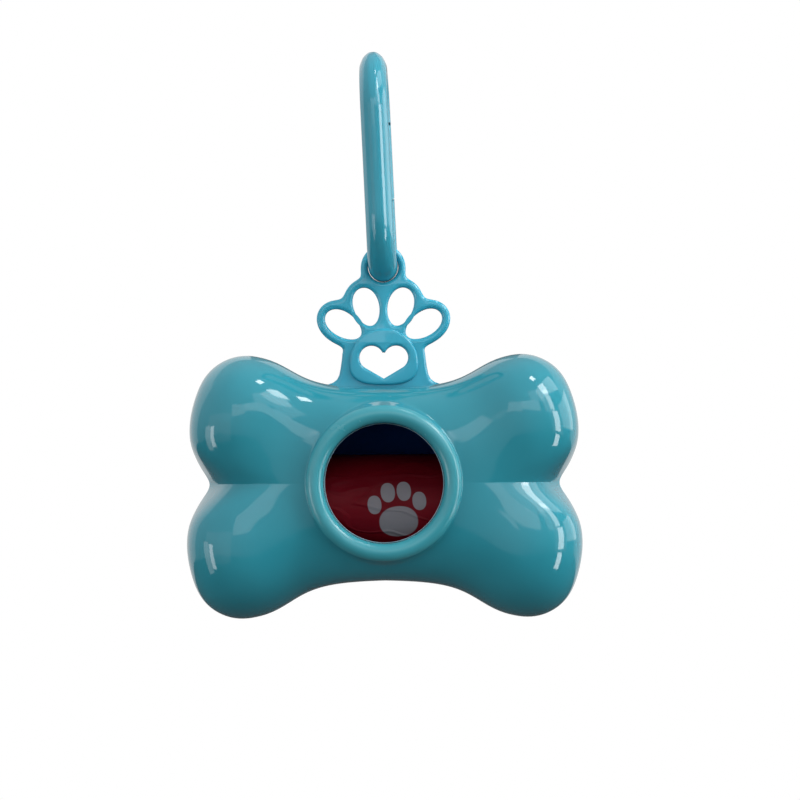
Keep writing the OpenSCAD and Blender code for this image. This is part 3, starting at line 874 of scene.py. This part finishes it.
def card_core():
    half = ROLL_L / 2
    bore = CORE_R - CORE_T
    profile = [(CORE_R, half - CORE_CHAMFER), (CORE_R - CORE_CHAMFER, half)]
    profile += [(bore + CORE_CHAMFER, half), (bore, half - CORE_CHAMFER)]
    profile += [(r, -x) for r, x in reversed(profile)]
    rings, faces = revolve(profile, 128)
    points = np.array(rings).reshape(-1, 3)[:, [1, 0, 2]]
    place = np.array(joint_place("roll_spin"))
    return new_object("card_core", points + place, faces)


# Materials
NOISE_SPAN = (0.3, 0.7)
TINT_SPAN = (0.35, 0.65)


def shader(name):
    material = bpy.data.materials.new(name)
    material.use_nodes = True
    tree = material.node_tree
    return material, tree, tree.nodes["Principled BSDF"]


def node(tree, kind, **values):
    """A node with its properties and plain inputs set; an underscore in a name stands for a space."""
    made = tree.nodes.new(kind)
    for key, value in values.items():
        if hasattr(made, key):
            setattr(made, key, value)
        else:
            made.inputs[key.replace("_", " ")].default_value = value
    return made


def linear(*screen):
    """A colour given as it looks on screen, as red, green and blue from 0 to 255."""
    parts = [v / 255 / 12.92 if v <= 10 else ((v / 255 + 0.055) / 1.055) ** 2.4 for v in screen]
    return (*parts, 1.0)


def object_noise(tree, scale, detail=2.0, stretch=(1, 1, 1), turn_y=0):
    """Noise fixed to the object, its scale in waves per metre."""
    place = tree.nodes.new("ShaderNodeTexCoord")
    mapping = node(tree, "ShaderNodeMapping", Scale=stretch, Rotation=(0, math.radians(turn_y), 0))
    noise = node(tree, "ShaderNodeTexNoise", Scale=scale, Detail=detail)
    tree.links.new(place.outputs["Object"], mapping.inputs["Vector"])
    tree.links.new(mapping.outputs["Vector"], noise.inputs["Vector"])
    return noise.outputs["Fac"]


def map_range(tree, value, source, result=(0, 1)):
    """Carries a value from one range over to another."""
    span = node(
        tree, "ShaderNodeMapRange",
        From_Min=source[0], From_Max=source[1], To_Min=result[0], To_Max=result[1],
    )
    tree.links.new(value, span.inputs["Value"])
    return span.outputs["Result"]


def vary(tree, noise, socket, low, high):
    """Lets the noise move a value of the shader between low and high."""
    tree.links.new(map_range(tree, noise, NOISE_SPAN, (low, high)), socket)


def tint(tree, noise, socket, first, second):
    """Lets the noise blend between two near colours."""
    ramp = tree.nodes.new("ShaderNodeValToRGB")
    for stop, place, colour in zip(ramp.color_ramp.elements, TINT_SPAN, (first, second)):
        stop.position = place
        stop.color = colour
    tree.links.new(noise, ramp.inputs["Fac"])
    tree.links.new(ramp.outputs["Color"], socket)


def bump(tree, shade, heights):
    """Lays several heights over each other as fine relief; each has its depth in millimetres."""
    last = None
    for height, depth in heights:
        relief = node(tree, "ShaderNodeBump", Strength=1.0, Distance=depth * MM)
        tree.links.new(height, relief.inputs["Height"])
        if last:
            tree.links.new(last.outputs["Normal"], relief.inputs["Normal"])
        last = relief
    tree.links.new(last.outputs["Normal"], shade.inputs["Normal"])


def blend_colour(tree, share, plain_colour, second):
    """Puts a second colour over the plain one, where share is 1."""
    mixed = tree.nodes.new("ShaderNodeMix")
    mixed.data_type = "RGBA"
    mixed.inputs["B"].default_value = second
    tree.links.new(share, mixed.inputs["Factor"])
    tree.links.new(plain_colour, mixed.inputs["A"])
    return mixed.outputs["Result"]


def colour_parts(material, parts):
    """Other colours painted over marked parts; here they are painted light and shade, such as the thin
    hanger painted lighter as light shining through it.
    """
    tree = material.node_tree
    shade = tree.nodes["Principled BSDF"]
    colour = shade.inputs["Base Color"].links[0].from_socket
    for name, second in parts.items():
        share = node(tree, "ShaderNodeAttribute", attribute_name=name)
        colour = blend_colour(tree, share.outputs["Fac"], colour, second)
    tree.links.new(colour, shade.inputs["Base Color"])


def moulded_plastic(name, first, second, roughness=(0.05, 0.08)):
    """Glossy plastic between two near colours, a little uneven from the mould."""
    material, tree, shade = shader(name)
    tint(tree, object_noise(tree, 60), shade.inputs["Base Color"], first, second)
    vary(tree, object_noise(tree, 240, 3), shade.inputs["Roughness"], *roughness)
    shade.inputs["IOR"].default_value = 1.5
    flow = object_noise(tree, 90, 1, (0.35, 1, 1.6))
    grain = object_noise(tree, 1400, 2)
    bump(tree, shade, [(flow, 0.07), (grain, 0.0015)])
    return material


# A plain paw print on the film: places and half sizes of its pads, along the roll and round it
PRINT_PLACE = (2.9, 0.2)
PRINT_LEAN = math.radians(5)
PRINT_PADS = [
    ((0, -2.6), (4.2, 3.5)),
    ((-4.9, 1.7), (1.5, 2.1)),
    ((-1.75, 4.3), (1.55, 2.3)),
    ((1.75, 4.3), (1.55, 2.3)),
    ((4.9, 1.7), (1.5, 2.1)),
]
PRINT_EDGE = 0.06
PRINT_POWER = 2.2
PRINT_FAR = 9.0


def math_node(tree, operation, first, second):
    """A sum, product or the like of two sockets or numbers."""
    made = node(tree, "ShaderNodeMath", operation=operation)
    for socket, value in zip(made.inputs, (first, second)):
        if isinstance(value, (int, float)):
            socket.default_value = value
        else:
            tree.links.new(value, socket)
    return made.outputs["Value"]


def paw_print(tree):
    """1 on the printed paw and 0 beside it."""
    flat = tree.nodes.new("ShaderNodeUVMap")
    place = node(
        tree, "ShaderNodeMapping", vector_type="TEXTURE",
        Location=(*PRINT_PLACE, 0), Rotation=(0, 0, PRINT_LEAN),
    )
    split = tree.nodes.new("ShaderNodeSeparateXYZ")
    tree.links.new(flat.outputs["UV"], place.inputs["Vector"])
    tree.links.new(place.outputs["Vector"], split.inputs["Vector"])
    nearest = PRINT_FAR
    for middle, half in PRINT_PADS:
        parts = []
        for axis, m, h in zip("XY", middle, half):
            away = math_node(tree, "SUBTRACT", split.outputs[axis], m)
            away = math_node(tree, "ABSOLUTE", math_node(tree, "DIVIDE", away, h), 0)
            parts.append(math_node(tree, "POWER", away, PRINT_POWER))
        nearest = math_node(tree, "MINIMUM", math_node(tree, "ADD", *parts), nearest)
    return map_range(tree, nearest, (1 + PRINT_EDGE, 1 - PRINT_EDGE))


def ridges(tree, noise, width):
    """Thin raised lines along which the noise passes its middle value."""
    away = math_node(tree, "ABSOLUTE", math_node(tree, "SUBTRACT", noise, 0.5), 0)
    return map_range(tree, away, (0, width), (1, 0))


def bag_film():
    material, tree, shade = shader("bag_film")
    cloud = object_noise(tree, 45, 3, (0.5, 1, 1))
    tint(tree, cloud, shade.inputs["Base Color"], linear(88, 4, 16), linear(108, 8, 22))
    vary(tree, object_noise(tree, 160, 3), shade.inputs["Roughness"], 0.36, 0.5)
    shade.inputs["Specular IOR Level"].default_value = 0.07
    colour = shade.inputs["Base Color"].links[0].from_socket
    printed = blend_colour(tree, paw_print(tree), colour, linear(128, 122, 127))
    tree.links.new(printed, shade.inputs["Base Color"])
    folds = object_noise(tree, 70, 4, (0.4, 1.3, 1.3))
    creases = ridges(tree, object_noise(tree, 75, 2, (0.5, 1, 1.5), 38), 0.03)
    bump(tree, shade, [(folds, 0.8), (creases, 0.14)])
    return material


def paperboard():
    material, tree, shade = shader("core_board")
    fibres = object_noise(tree, 900, 4, (0.2, 1, 1))
    tint(tree, fibres, shade.inputs["Base Color"], linear(150, 124, 94), linear(186, 160, 126))
    shade.inputs["Roughness"].default_value = 0.85
    bump(tree, shade, [(object_noise(tree, 1600, 4, (0.3, 1, 1)), 0.03)])
    return material


def spring_steel():
    material, tree, shade = shader("spring_steel")
    drawn = object_noise(tree, 500, 3, (0.1, 1, 1))
    tint(tree, drawn, shade.inputs["Base Color"], linear(168, 172, 176), linear(196, 199, 202))
    shade.inputs["Metallic"].default_value = 1.0
    vary(tree, object_noise(tree, 900, 3, (0.1, 1, 1)), shade.inputs["Roughness"], 0.22, 0.34)
    return material


case_plastic = moulded_plastic("case_plastic", linear(40, 132, 148), linear(45, 137, 153))
# The hanger is painted lighter and bluer than the case, as light shining through the thin plate.
# The inside is painted deep blue, as the shade within the case.
colour_parts(case_plastic, {"hanger": linear(52, 161, 187), "inside": linear(30, 86, 172)})
# The ring is painted a shade lighter than the case, as the light that its round bead catches.
ring_plastic = moulded_plastic("ring_plastic", linear(56, 144, 157), linear(61, 149, 162), (0.2, 0.28))
# The ring's inner edge is painted pale, as a thin highlight.
colour_parts(ring_plastic, {"edge": linear(190, 200, 214)})
clip_plastic = moulded_plastic("clip_plastic", linear(48, 142, 162), linear(52, 146, 166))
film = bag_film()
board = paperboard()
steel = spring_steel()

finish_piece(front_case(), "case_front", case_plastic, ["front_shell"])
finish_piece(rear_case(), "case_rear", case_plastic, ["rear_shell"])
finish_piece(outlet_bead(), "case_front", ring_plastic, ["outlet_ring"])
for obj, body, slot, material, node_name in (
    (clip_body(), "clip", "clip_plastic", clip_plastic, "carabiner_body"),
    (clip_gate(), "gate", "clip_plastic", clip_plastic, "carabiner_gate"),
    (spring_wire(), "clip", "spring_steel", steel, "gate_spring"),
):
    obj.data.transform(CLIP_POSE)
    finish_piece(obj, body, material, [node_name])
finish_piece(film_roll(), "roll", film, ["bag_roll"], 50)
finish_piece(card_core(), "roll", board, ["roll_core"])
pin = frame["nodes"]["gate_pin"]
pin.data.materials.clear()
pin.data.materials.append(steel)

# Camera: straight in front of the case, half a metre away, tipped up a little
VIEW_DISTANCE = 500.0
MM_PER_PIXEL = 0.2236
CASE_PIXEL = (384, 483)
FRAME_PIXELS = 800
SENSOR = 36.0
CAMERA_ROLL = math.radians(0.4)
CLIP_START_M = 0.01
target = Vector((
    CASE.x + (FRAME_PIXELS / 2 - CASE_PIXEL[0]) * MM_PER_PIXEL,
    CASE.y,
    CASE.z + (CASE_PIXEL[1] - FRAME_PIXELS / 2) * MM_PER_PIXEL,
))
camera_data = bpy.data.cameras.new("camera")
camera_data.sensor_width = SENSOR
camera_data.lens = VIEW_DISTANCE / MM_PER_PIXEL * SENSOR / FRAME_PIXELS
camera_data.clip_start = CLIP_START_M
camera = bpy.data.objects.new("camera", camera_data)
bpy.context.scene.collection.objects.link(camera)
eye_point = Vector((target.x, CASE.y - VIEW_DISTANCE, CASE.z))
look = (target - eye_point).to_track_quat("-Z", "Y").to_matrix().to_4x4()
camera.matrix_world = Matrix.Translation(eye_point * MM) @ look @ Matrix.Rotation(-CAMERA_ROLL, 4, "Z")
bpy.context.scene.camera = camera


# Light: soft windows round the object, each given by where it stands as seen from the case
LAMP_DISTANCE_M = 1.5
BACKDROP_IN_GLOSS = 0.03
SKY_DIRECTION = (-0.45, -0.35, 0.82)
SKY_LEVELS = ((0.3, 0.1), (0.95, 0.76))
SKY_TINT = (0.95, 0.98, 1.0)


def window(name, azimuth, elevation, width, height, strength):
    """A plain rectangular lamp; angles in degrees, azimuth 0 towards the viewer and 90 to the right."""
    az, el = math.radians(azimuth), math.radians(elevation)
    away = Vector((math.sin(az) * math.cos(el), -math.cos(az) * math.cos(el), math.sin(el)))
    wide, high = (2 * LAMP_DISTANCE_M * math.tan(math.radians(a / 2)) for a in (width, height))
    light = bpy.data.lights.new(name, "AREA")
    light.shape = "RECTANGLE"
    light.size, light.size_y = wide, high
    light.energy = strength * math.pi * wide * high
    obj = bpy.data.objects.new(name, light)
    bpy.context.scene.collection.objects.link(obj)
    turned = (-away).to_track_quat("-Z", "Y").to_matrix().to_4x4()
    obj.matrix_world = Matrix.Translation(CASE * MM + away * LAMP_DISTANCE_M) @ turned
    obj.visible_camera = False


window("left_window", -62, -12, 9, 26, 5.0)
window("left_window_dim", -75, -13, 14, 32, 1.6)
window("left_room", -50, -2, 50, 36, 0.35)
window("right_window_low", 69, -19, 12, 16, 8.0)
window("right_window_mid", 70, 5, 15, 24, 7.0)
window("right_window_top", 66, 31, 12, 24, 5.0)
window("right_window_near", 70, 4, 32, 28, 0.6)
window("right_window_upper", 58, 25, 26, 18, 1.2)
window("right_window_high", 78, 45, 60, 18, 2.2)
window("right_window_bright", 66, 46, 17, 16, 7.5)
window("right_ceiling", 36, 38, 30, 20, 1.0)
window("roof_window", 62, 70, 9, 9, 14.0)
window("pale_wall", -12, 19, 24, 15, 1.2)
window("pale_wall_right", 17, 22, 32, 13, 1.5)
window("right_wall", 108, 12, 44, 24, 1.7)
window("back_wall_left", -145, 14, 60, 50, 0.5)
window("back_wall_right", 145, 14, 60, 50, 0.5)


def sees_backdrop(tree):
    """How much of the white backdrop a ray sees: all for the camera and through glass, a little in gloss."""
    rays = tree.nodes.new("ShaderNodeLightPath").outputs
    gloss = math_node(tree, "MULTIPLY", rays["Is Glossy Ray"], BACKDROP_IN_GLOSS)
    clear = math_node(tree, "MAXIMUM", rays["Is Camera Ray"], rays["Is Transmission Ray"])
    return math_node(tree, "MAXIMUM", clear, gloss)


def show_backdrop(tree, usual, backdrop, output):
    """Gives the backdrop's shader to the rays that see it, and the usual one to all others."""
    mix = tree.nodes.new("ShaderNodeMixShader")
    for socket, source in zip(mix.inputs, (sees_backdrop(tree), usual, backdrop)):
        tree.links.new(source, socket)
    tree.links.new(mix.outputs["Shader"], tree.nodes[output].inputs["Surface"])


# World: a soft light from one side above for the object, plain white for the camera
world = bpy.data.worlds.new("world")
bpy.context.scene.world = world
world.use_nodes = True
tree = world.node_tree
room_light = tree.nodes["Background"]
room_light.inputs["Strength"].default_value = 1.0
white = node(tree, "ShaderNodeBackground", Strength=1.0, Color=(1, 1, 1, 1))
towards = tree.nodes.new("ShaderNodeTexCoord")
lean = node(tree, "ShaderNodeVectorMath", operation="DOT_PRODUCT")
lean.inputs[1].default_value = SKY_DIRECTION
sky = tree.nodes.new("ShaderNodeValToRGB")
sky.color_ramp.interpolation = "EASE"
for (place, level), stop in zip(SKY_LEVELS, sky.color_ramp.elements):
    stop.position = place
    stop.color = (*(level * part for part in SKY_TINT), 1)
tree.links.new(towards.outputs["Generated"], lean.inputs[0])
tree.links.new(map_range(tree, lean.outputs["Value"], (-1, 1)), sky.inputs["Fac"])
tree.links.new(sky.outputs["Color"], room_light.inputs["Color"])
show_backdrop(tree, room_light.outputs["Background"], white.outputs["Background"], "World Output")

# Floor, in metres: far below, so that it doesn't stand before the low windows
FLOOR_Z = -1.5
FLOOR_HALF = 6.0
FLOOR_SHADE = 0.06
FLOOR_GLOW = 0.96
floor_mesh = bpy.data.meshes.new("floor")
corners = [(-1, -1), (1, -1), (1, 1), (-1, 1)]
floor_mesh.from_pydata([(x * FLOOR_HALF, y * FLOOR_HALF, FLOOR_Z) for x, y in corners], [], [(0, 1, 2, 3)])
floor = bpy.data.objects.new("floor", floor_mesh)
bpy.context.scene.collection.objects.link(floor)
floor_material, tree, shade = shader("floor")
shade.inputs["Base Color"].default_value = (FLOOR_SHADE, FLOOR_SHADE, FLOOR_SHADE, 1)
shade.inputs["Roughness"].default_value = 0.9
glow = node(tree, "ShaderNodeEmission", Strength=FLOOR_GLOW)
bright = tree.nodes.new("ShaderNodeAddShader")
tree.links.new(shade.outputs["BSDF"], bright.inputs[0])
tree.links.new(glow.outputs["Emission"], bright.inputs[1])
show_backdrop(tree, shade.outputs["BSDF"], bright.outputs["Shader"], "Material Output")
floor.data.materials.append(floor_material)

bpy.context.scene.view_settings.view_transform = "Standard"
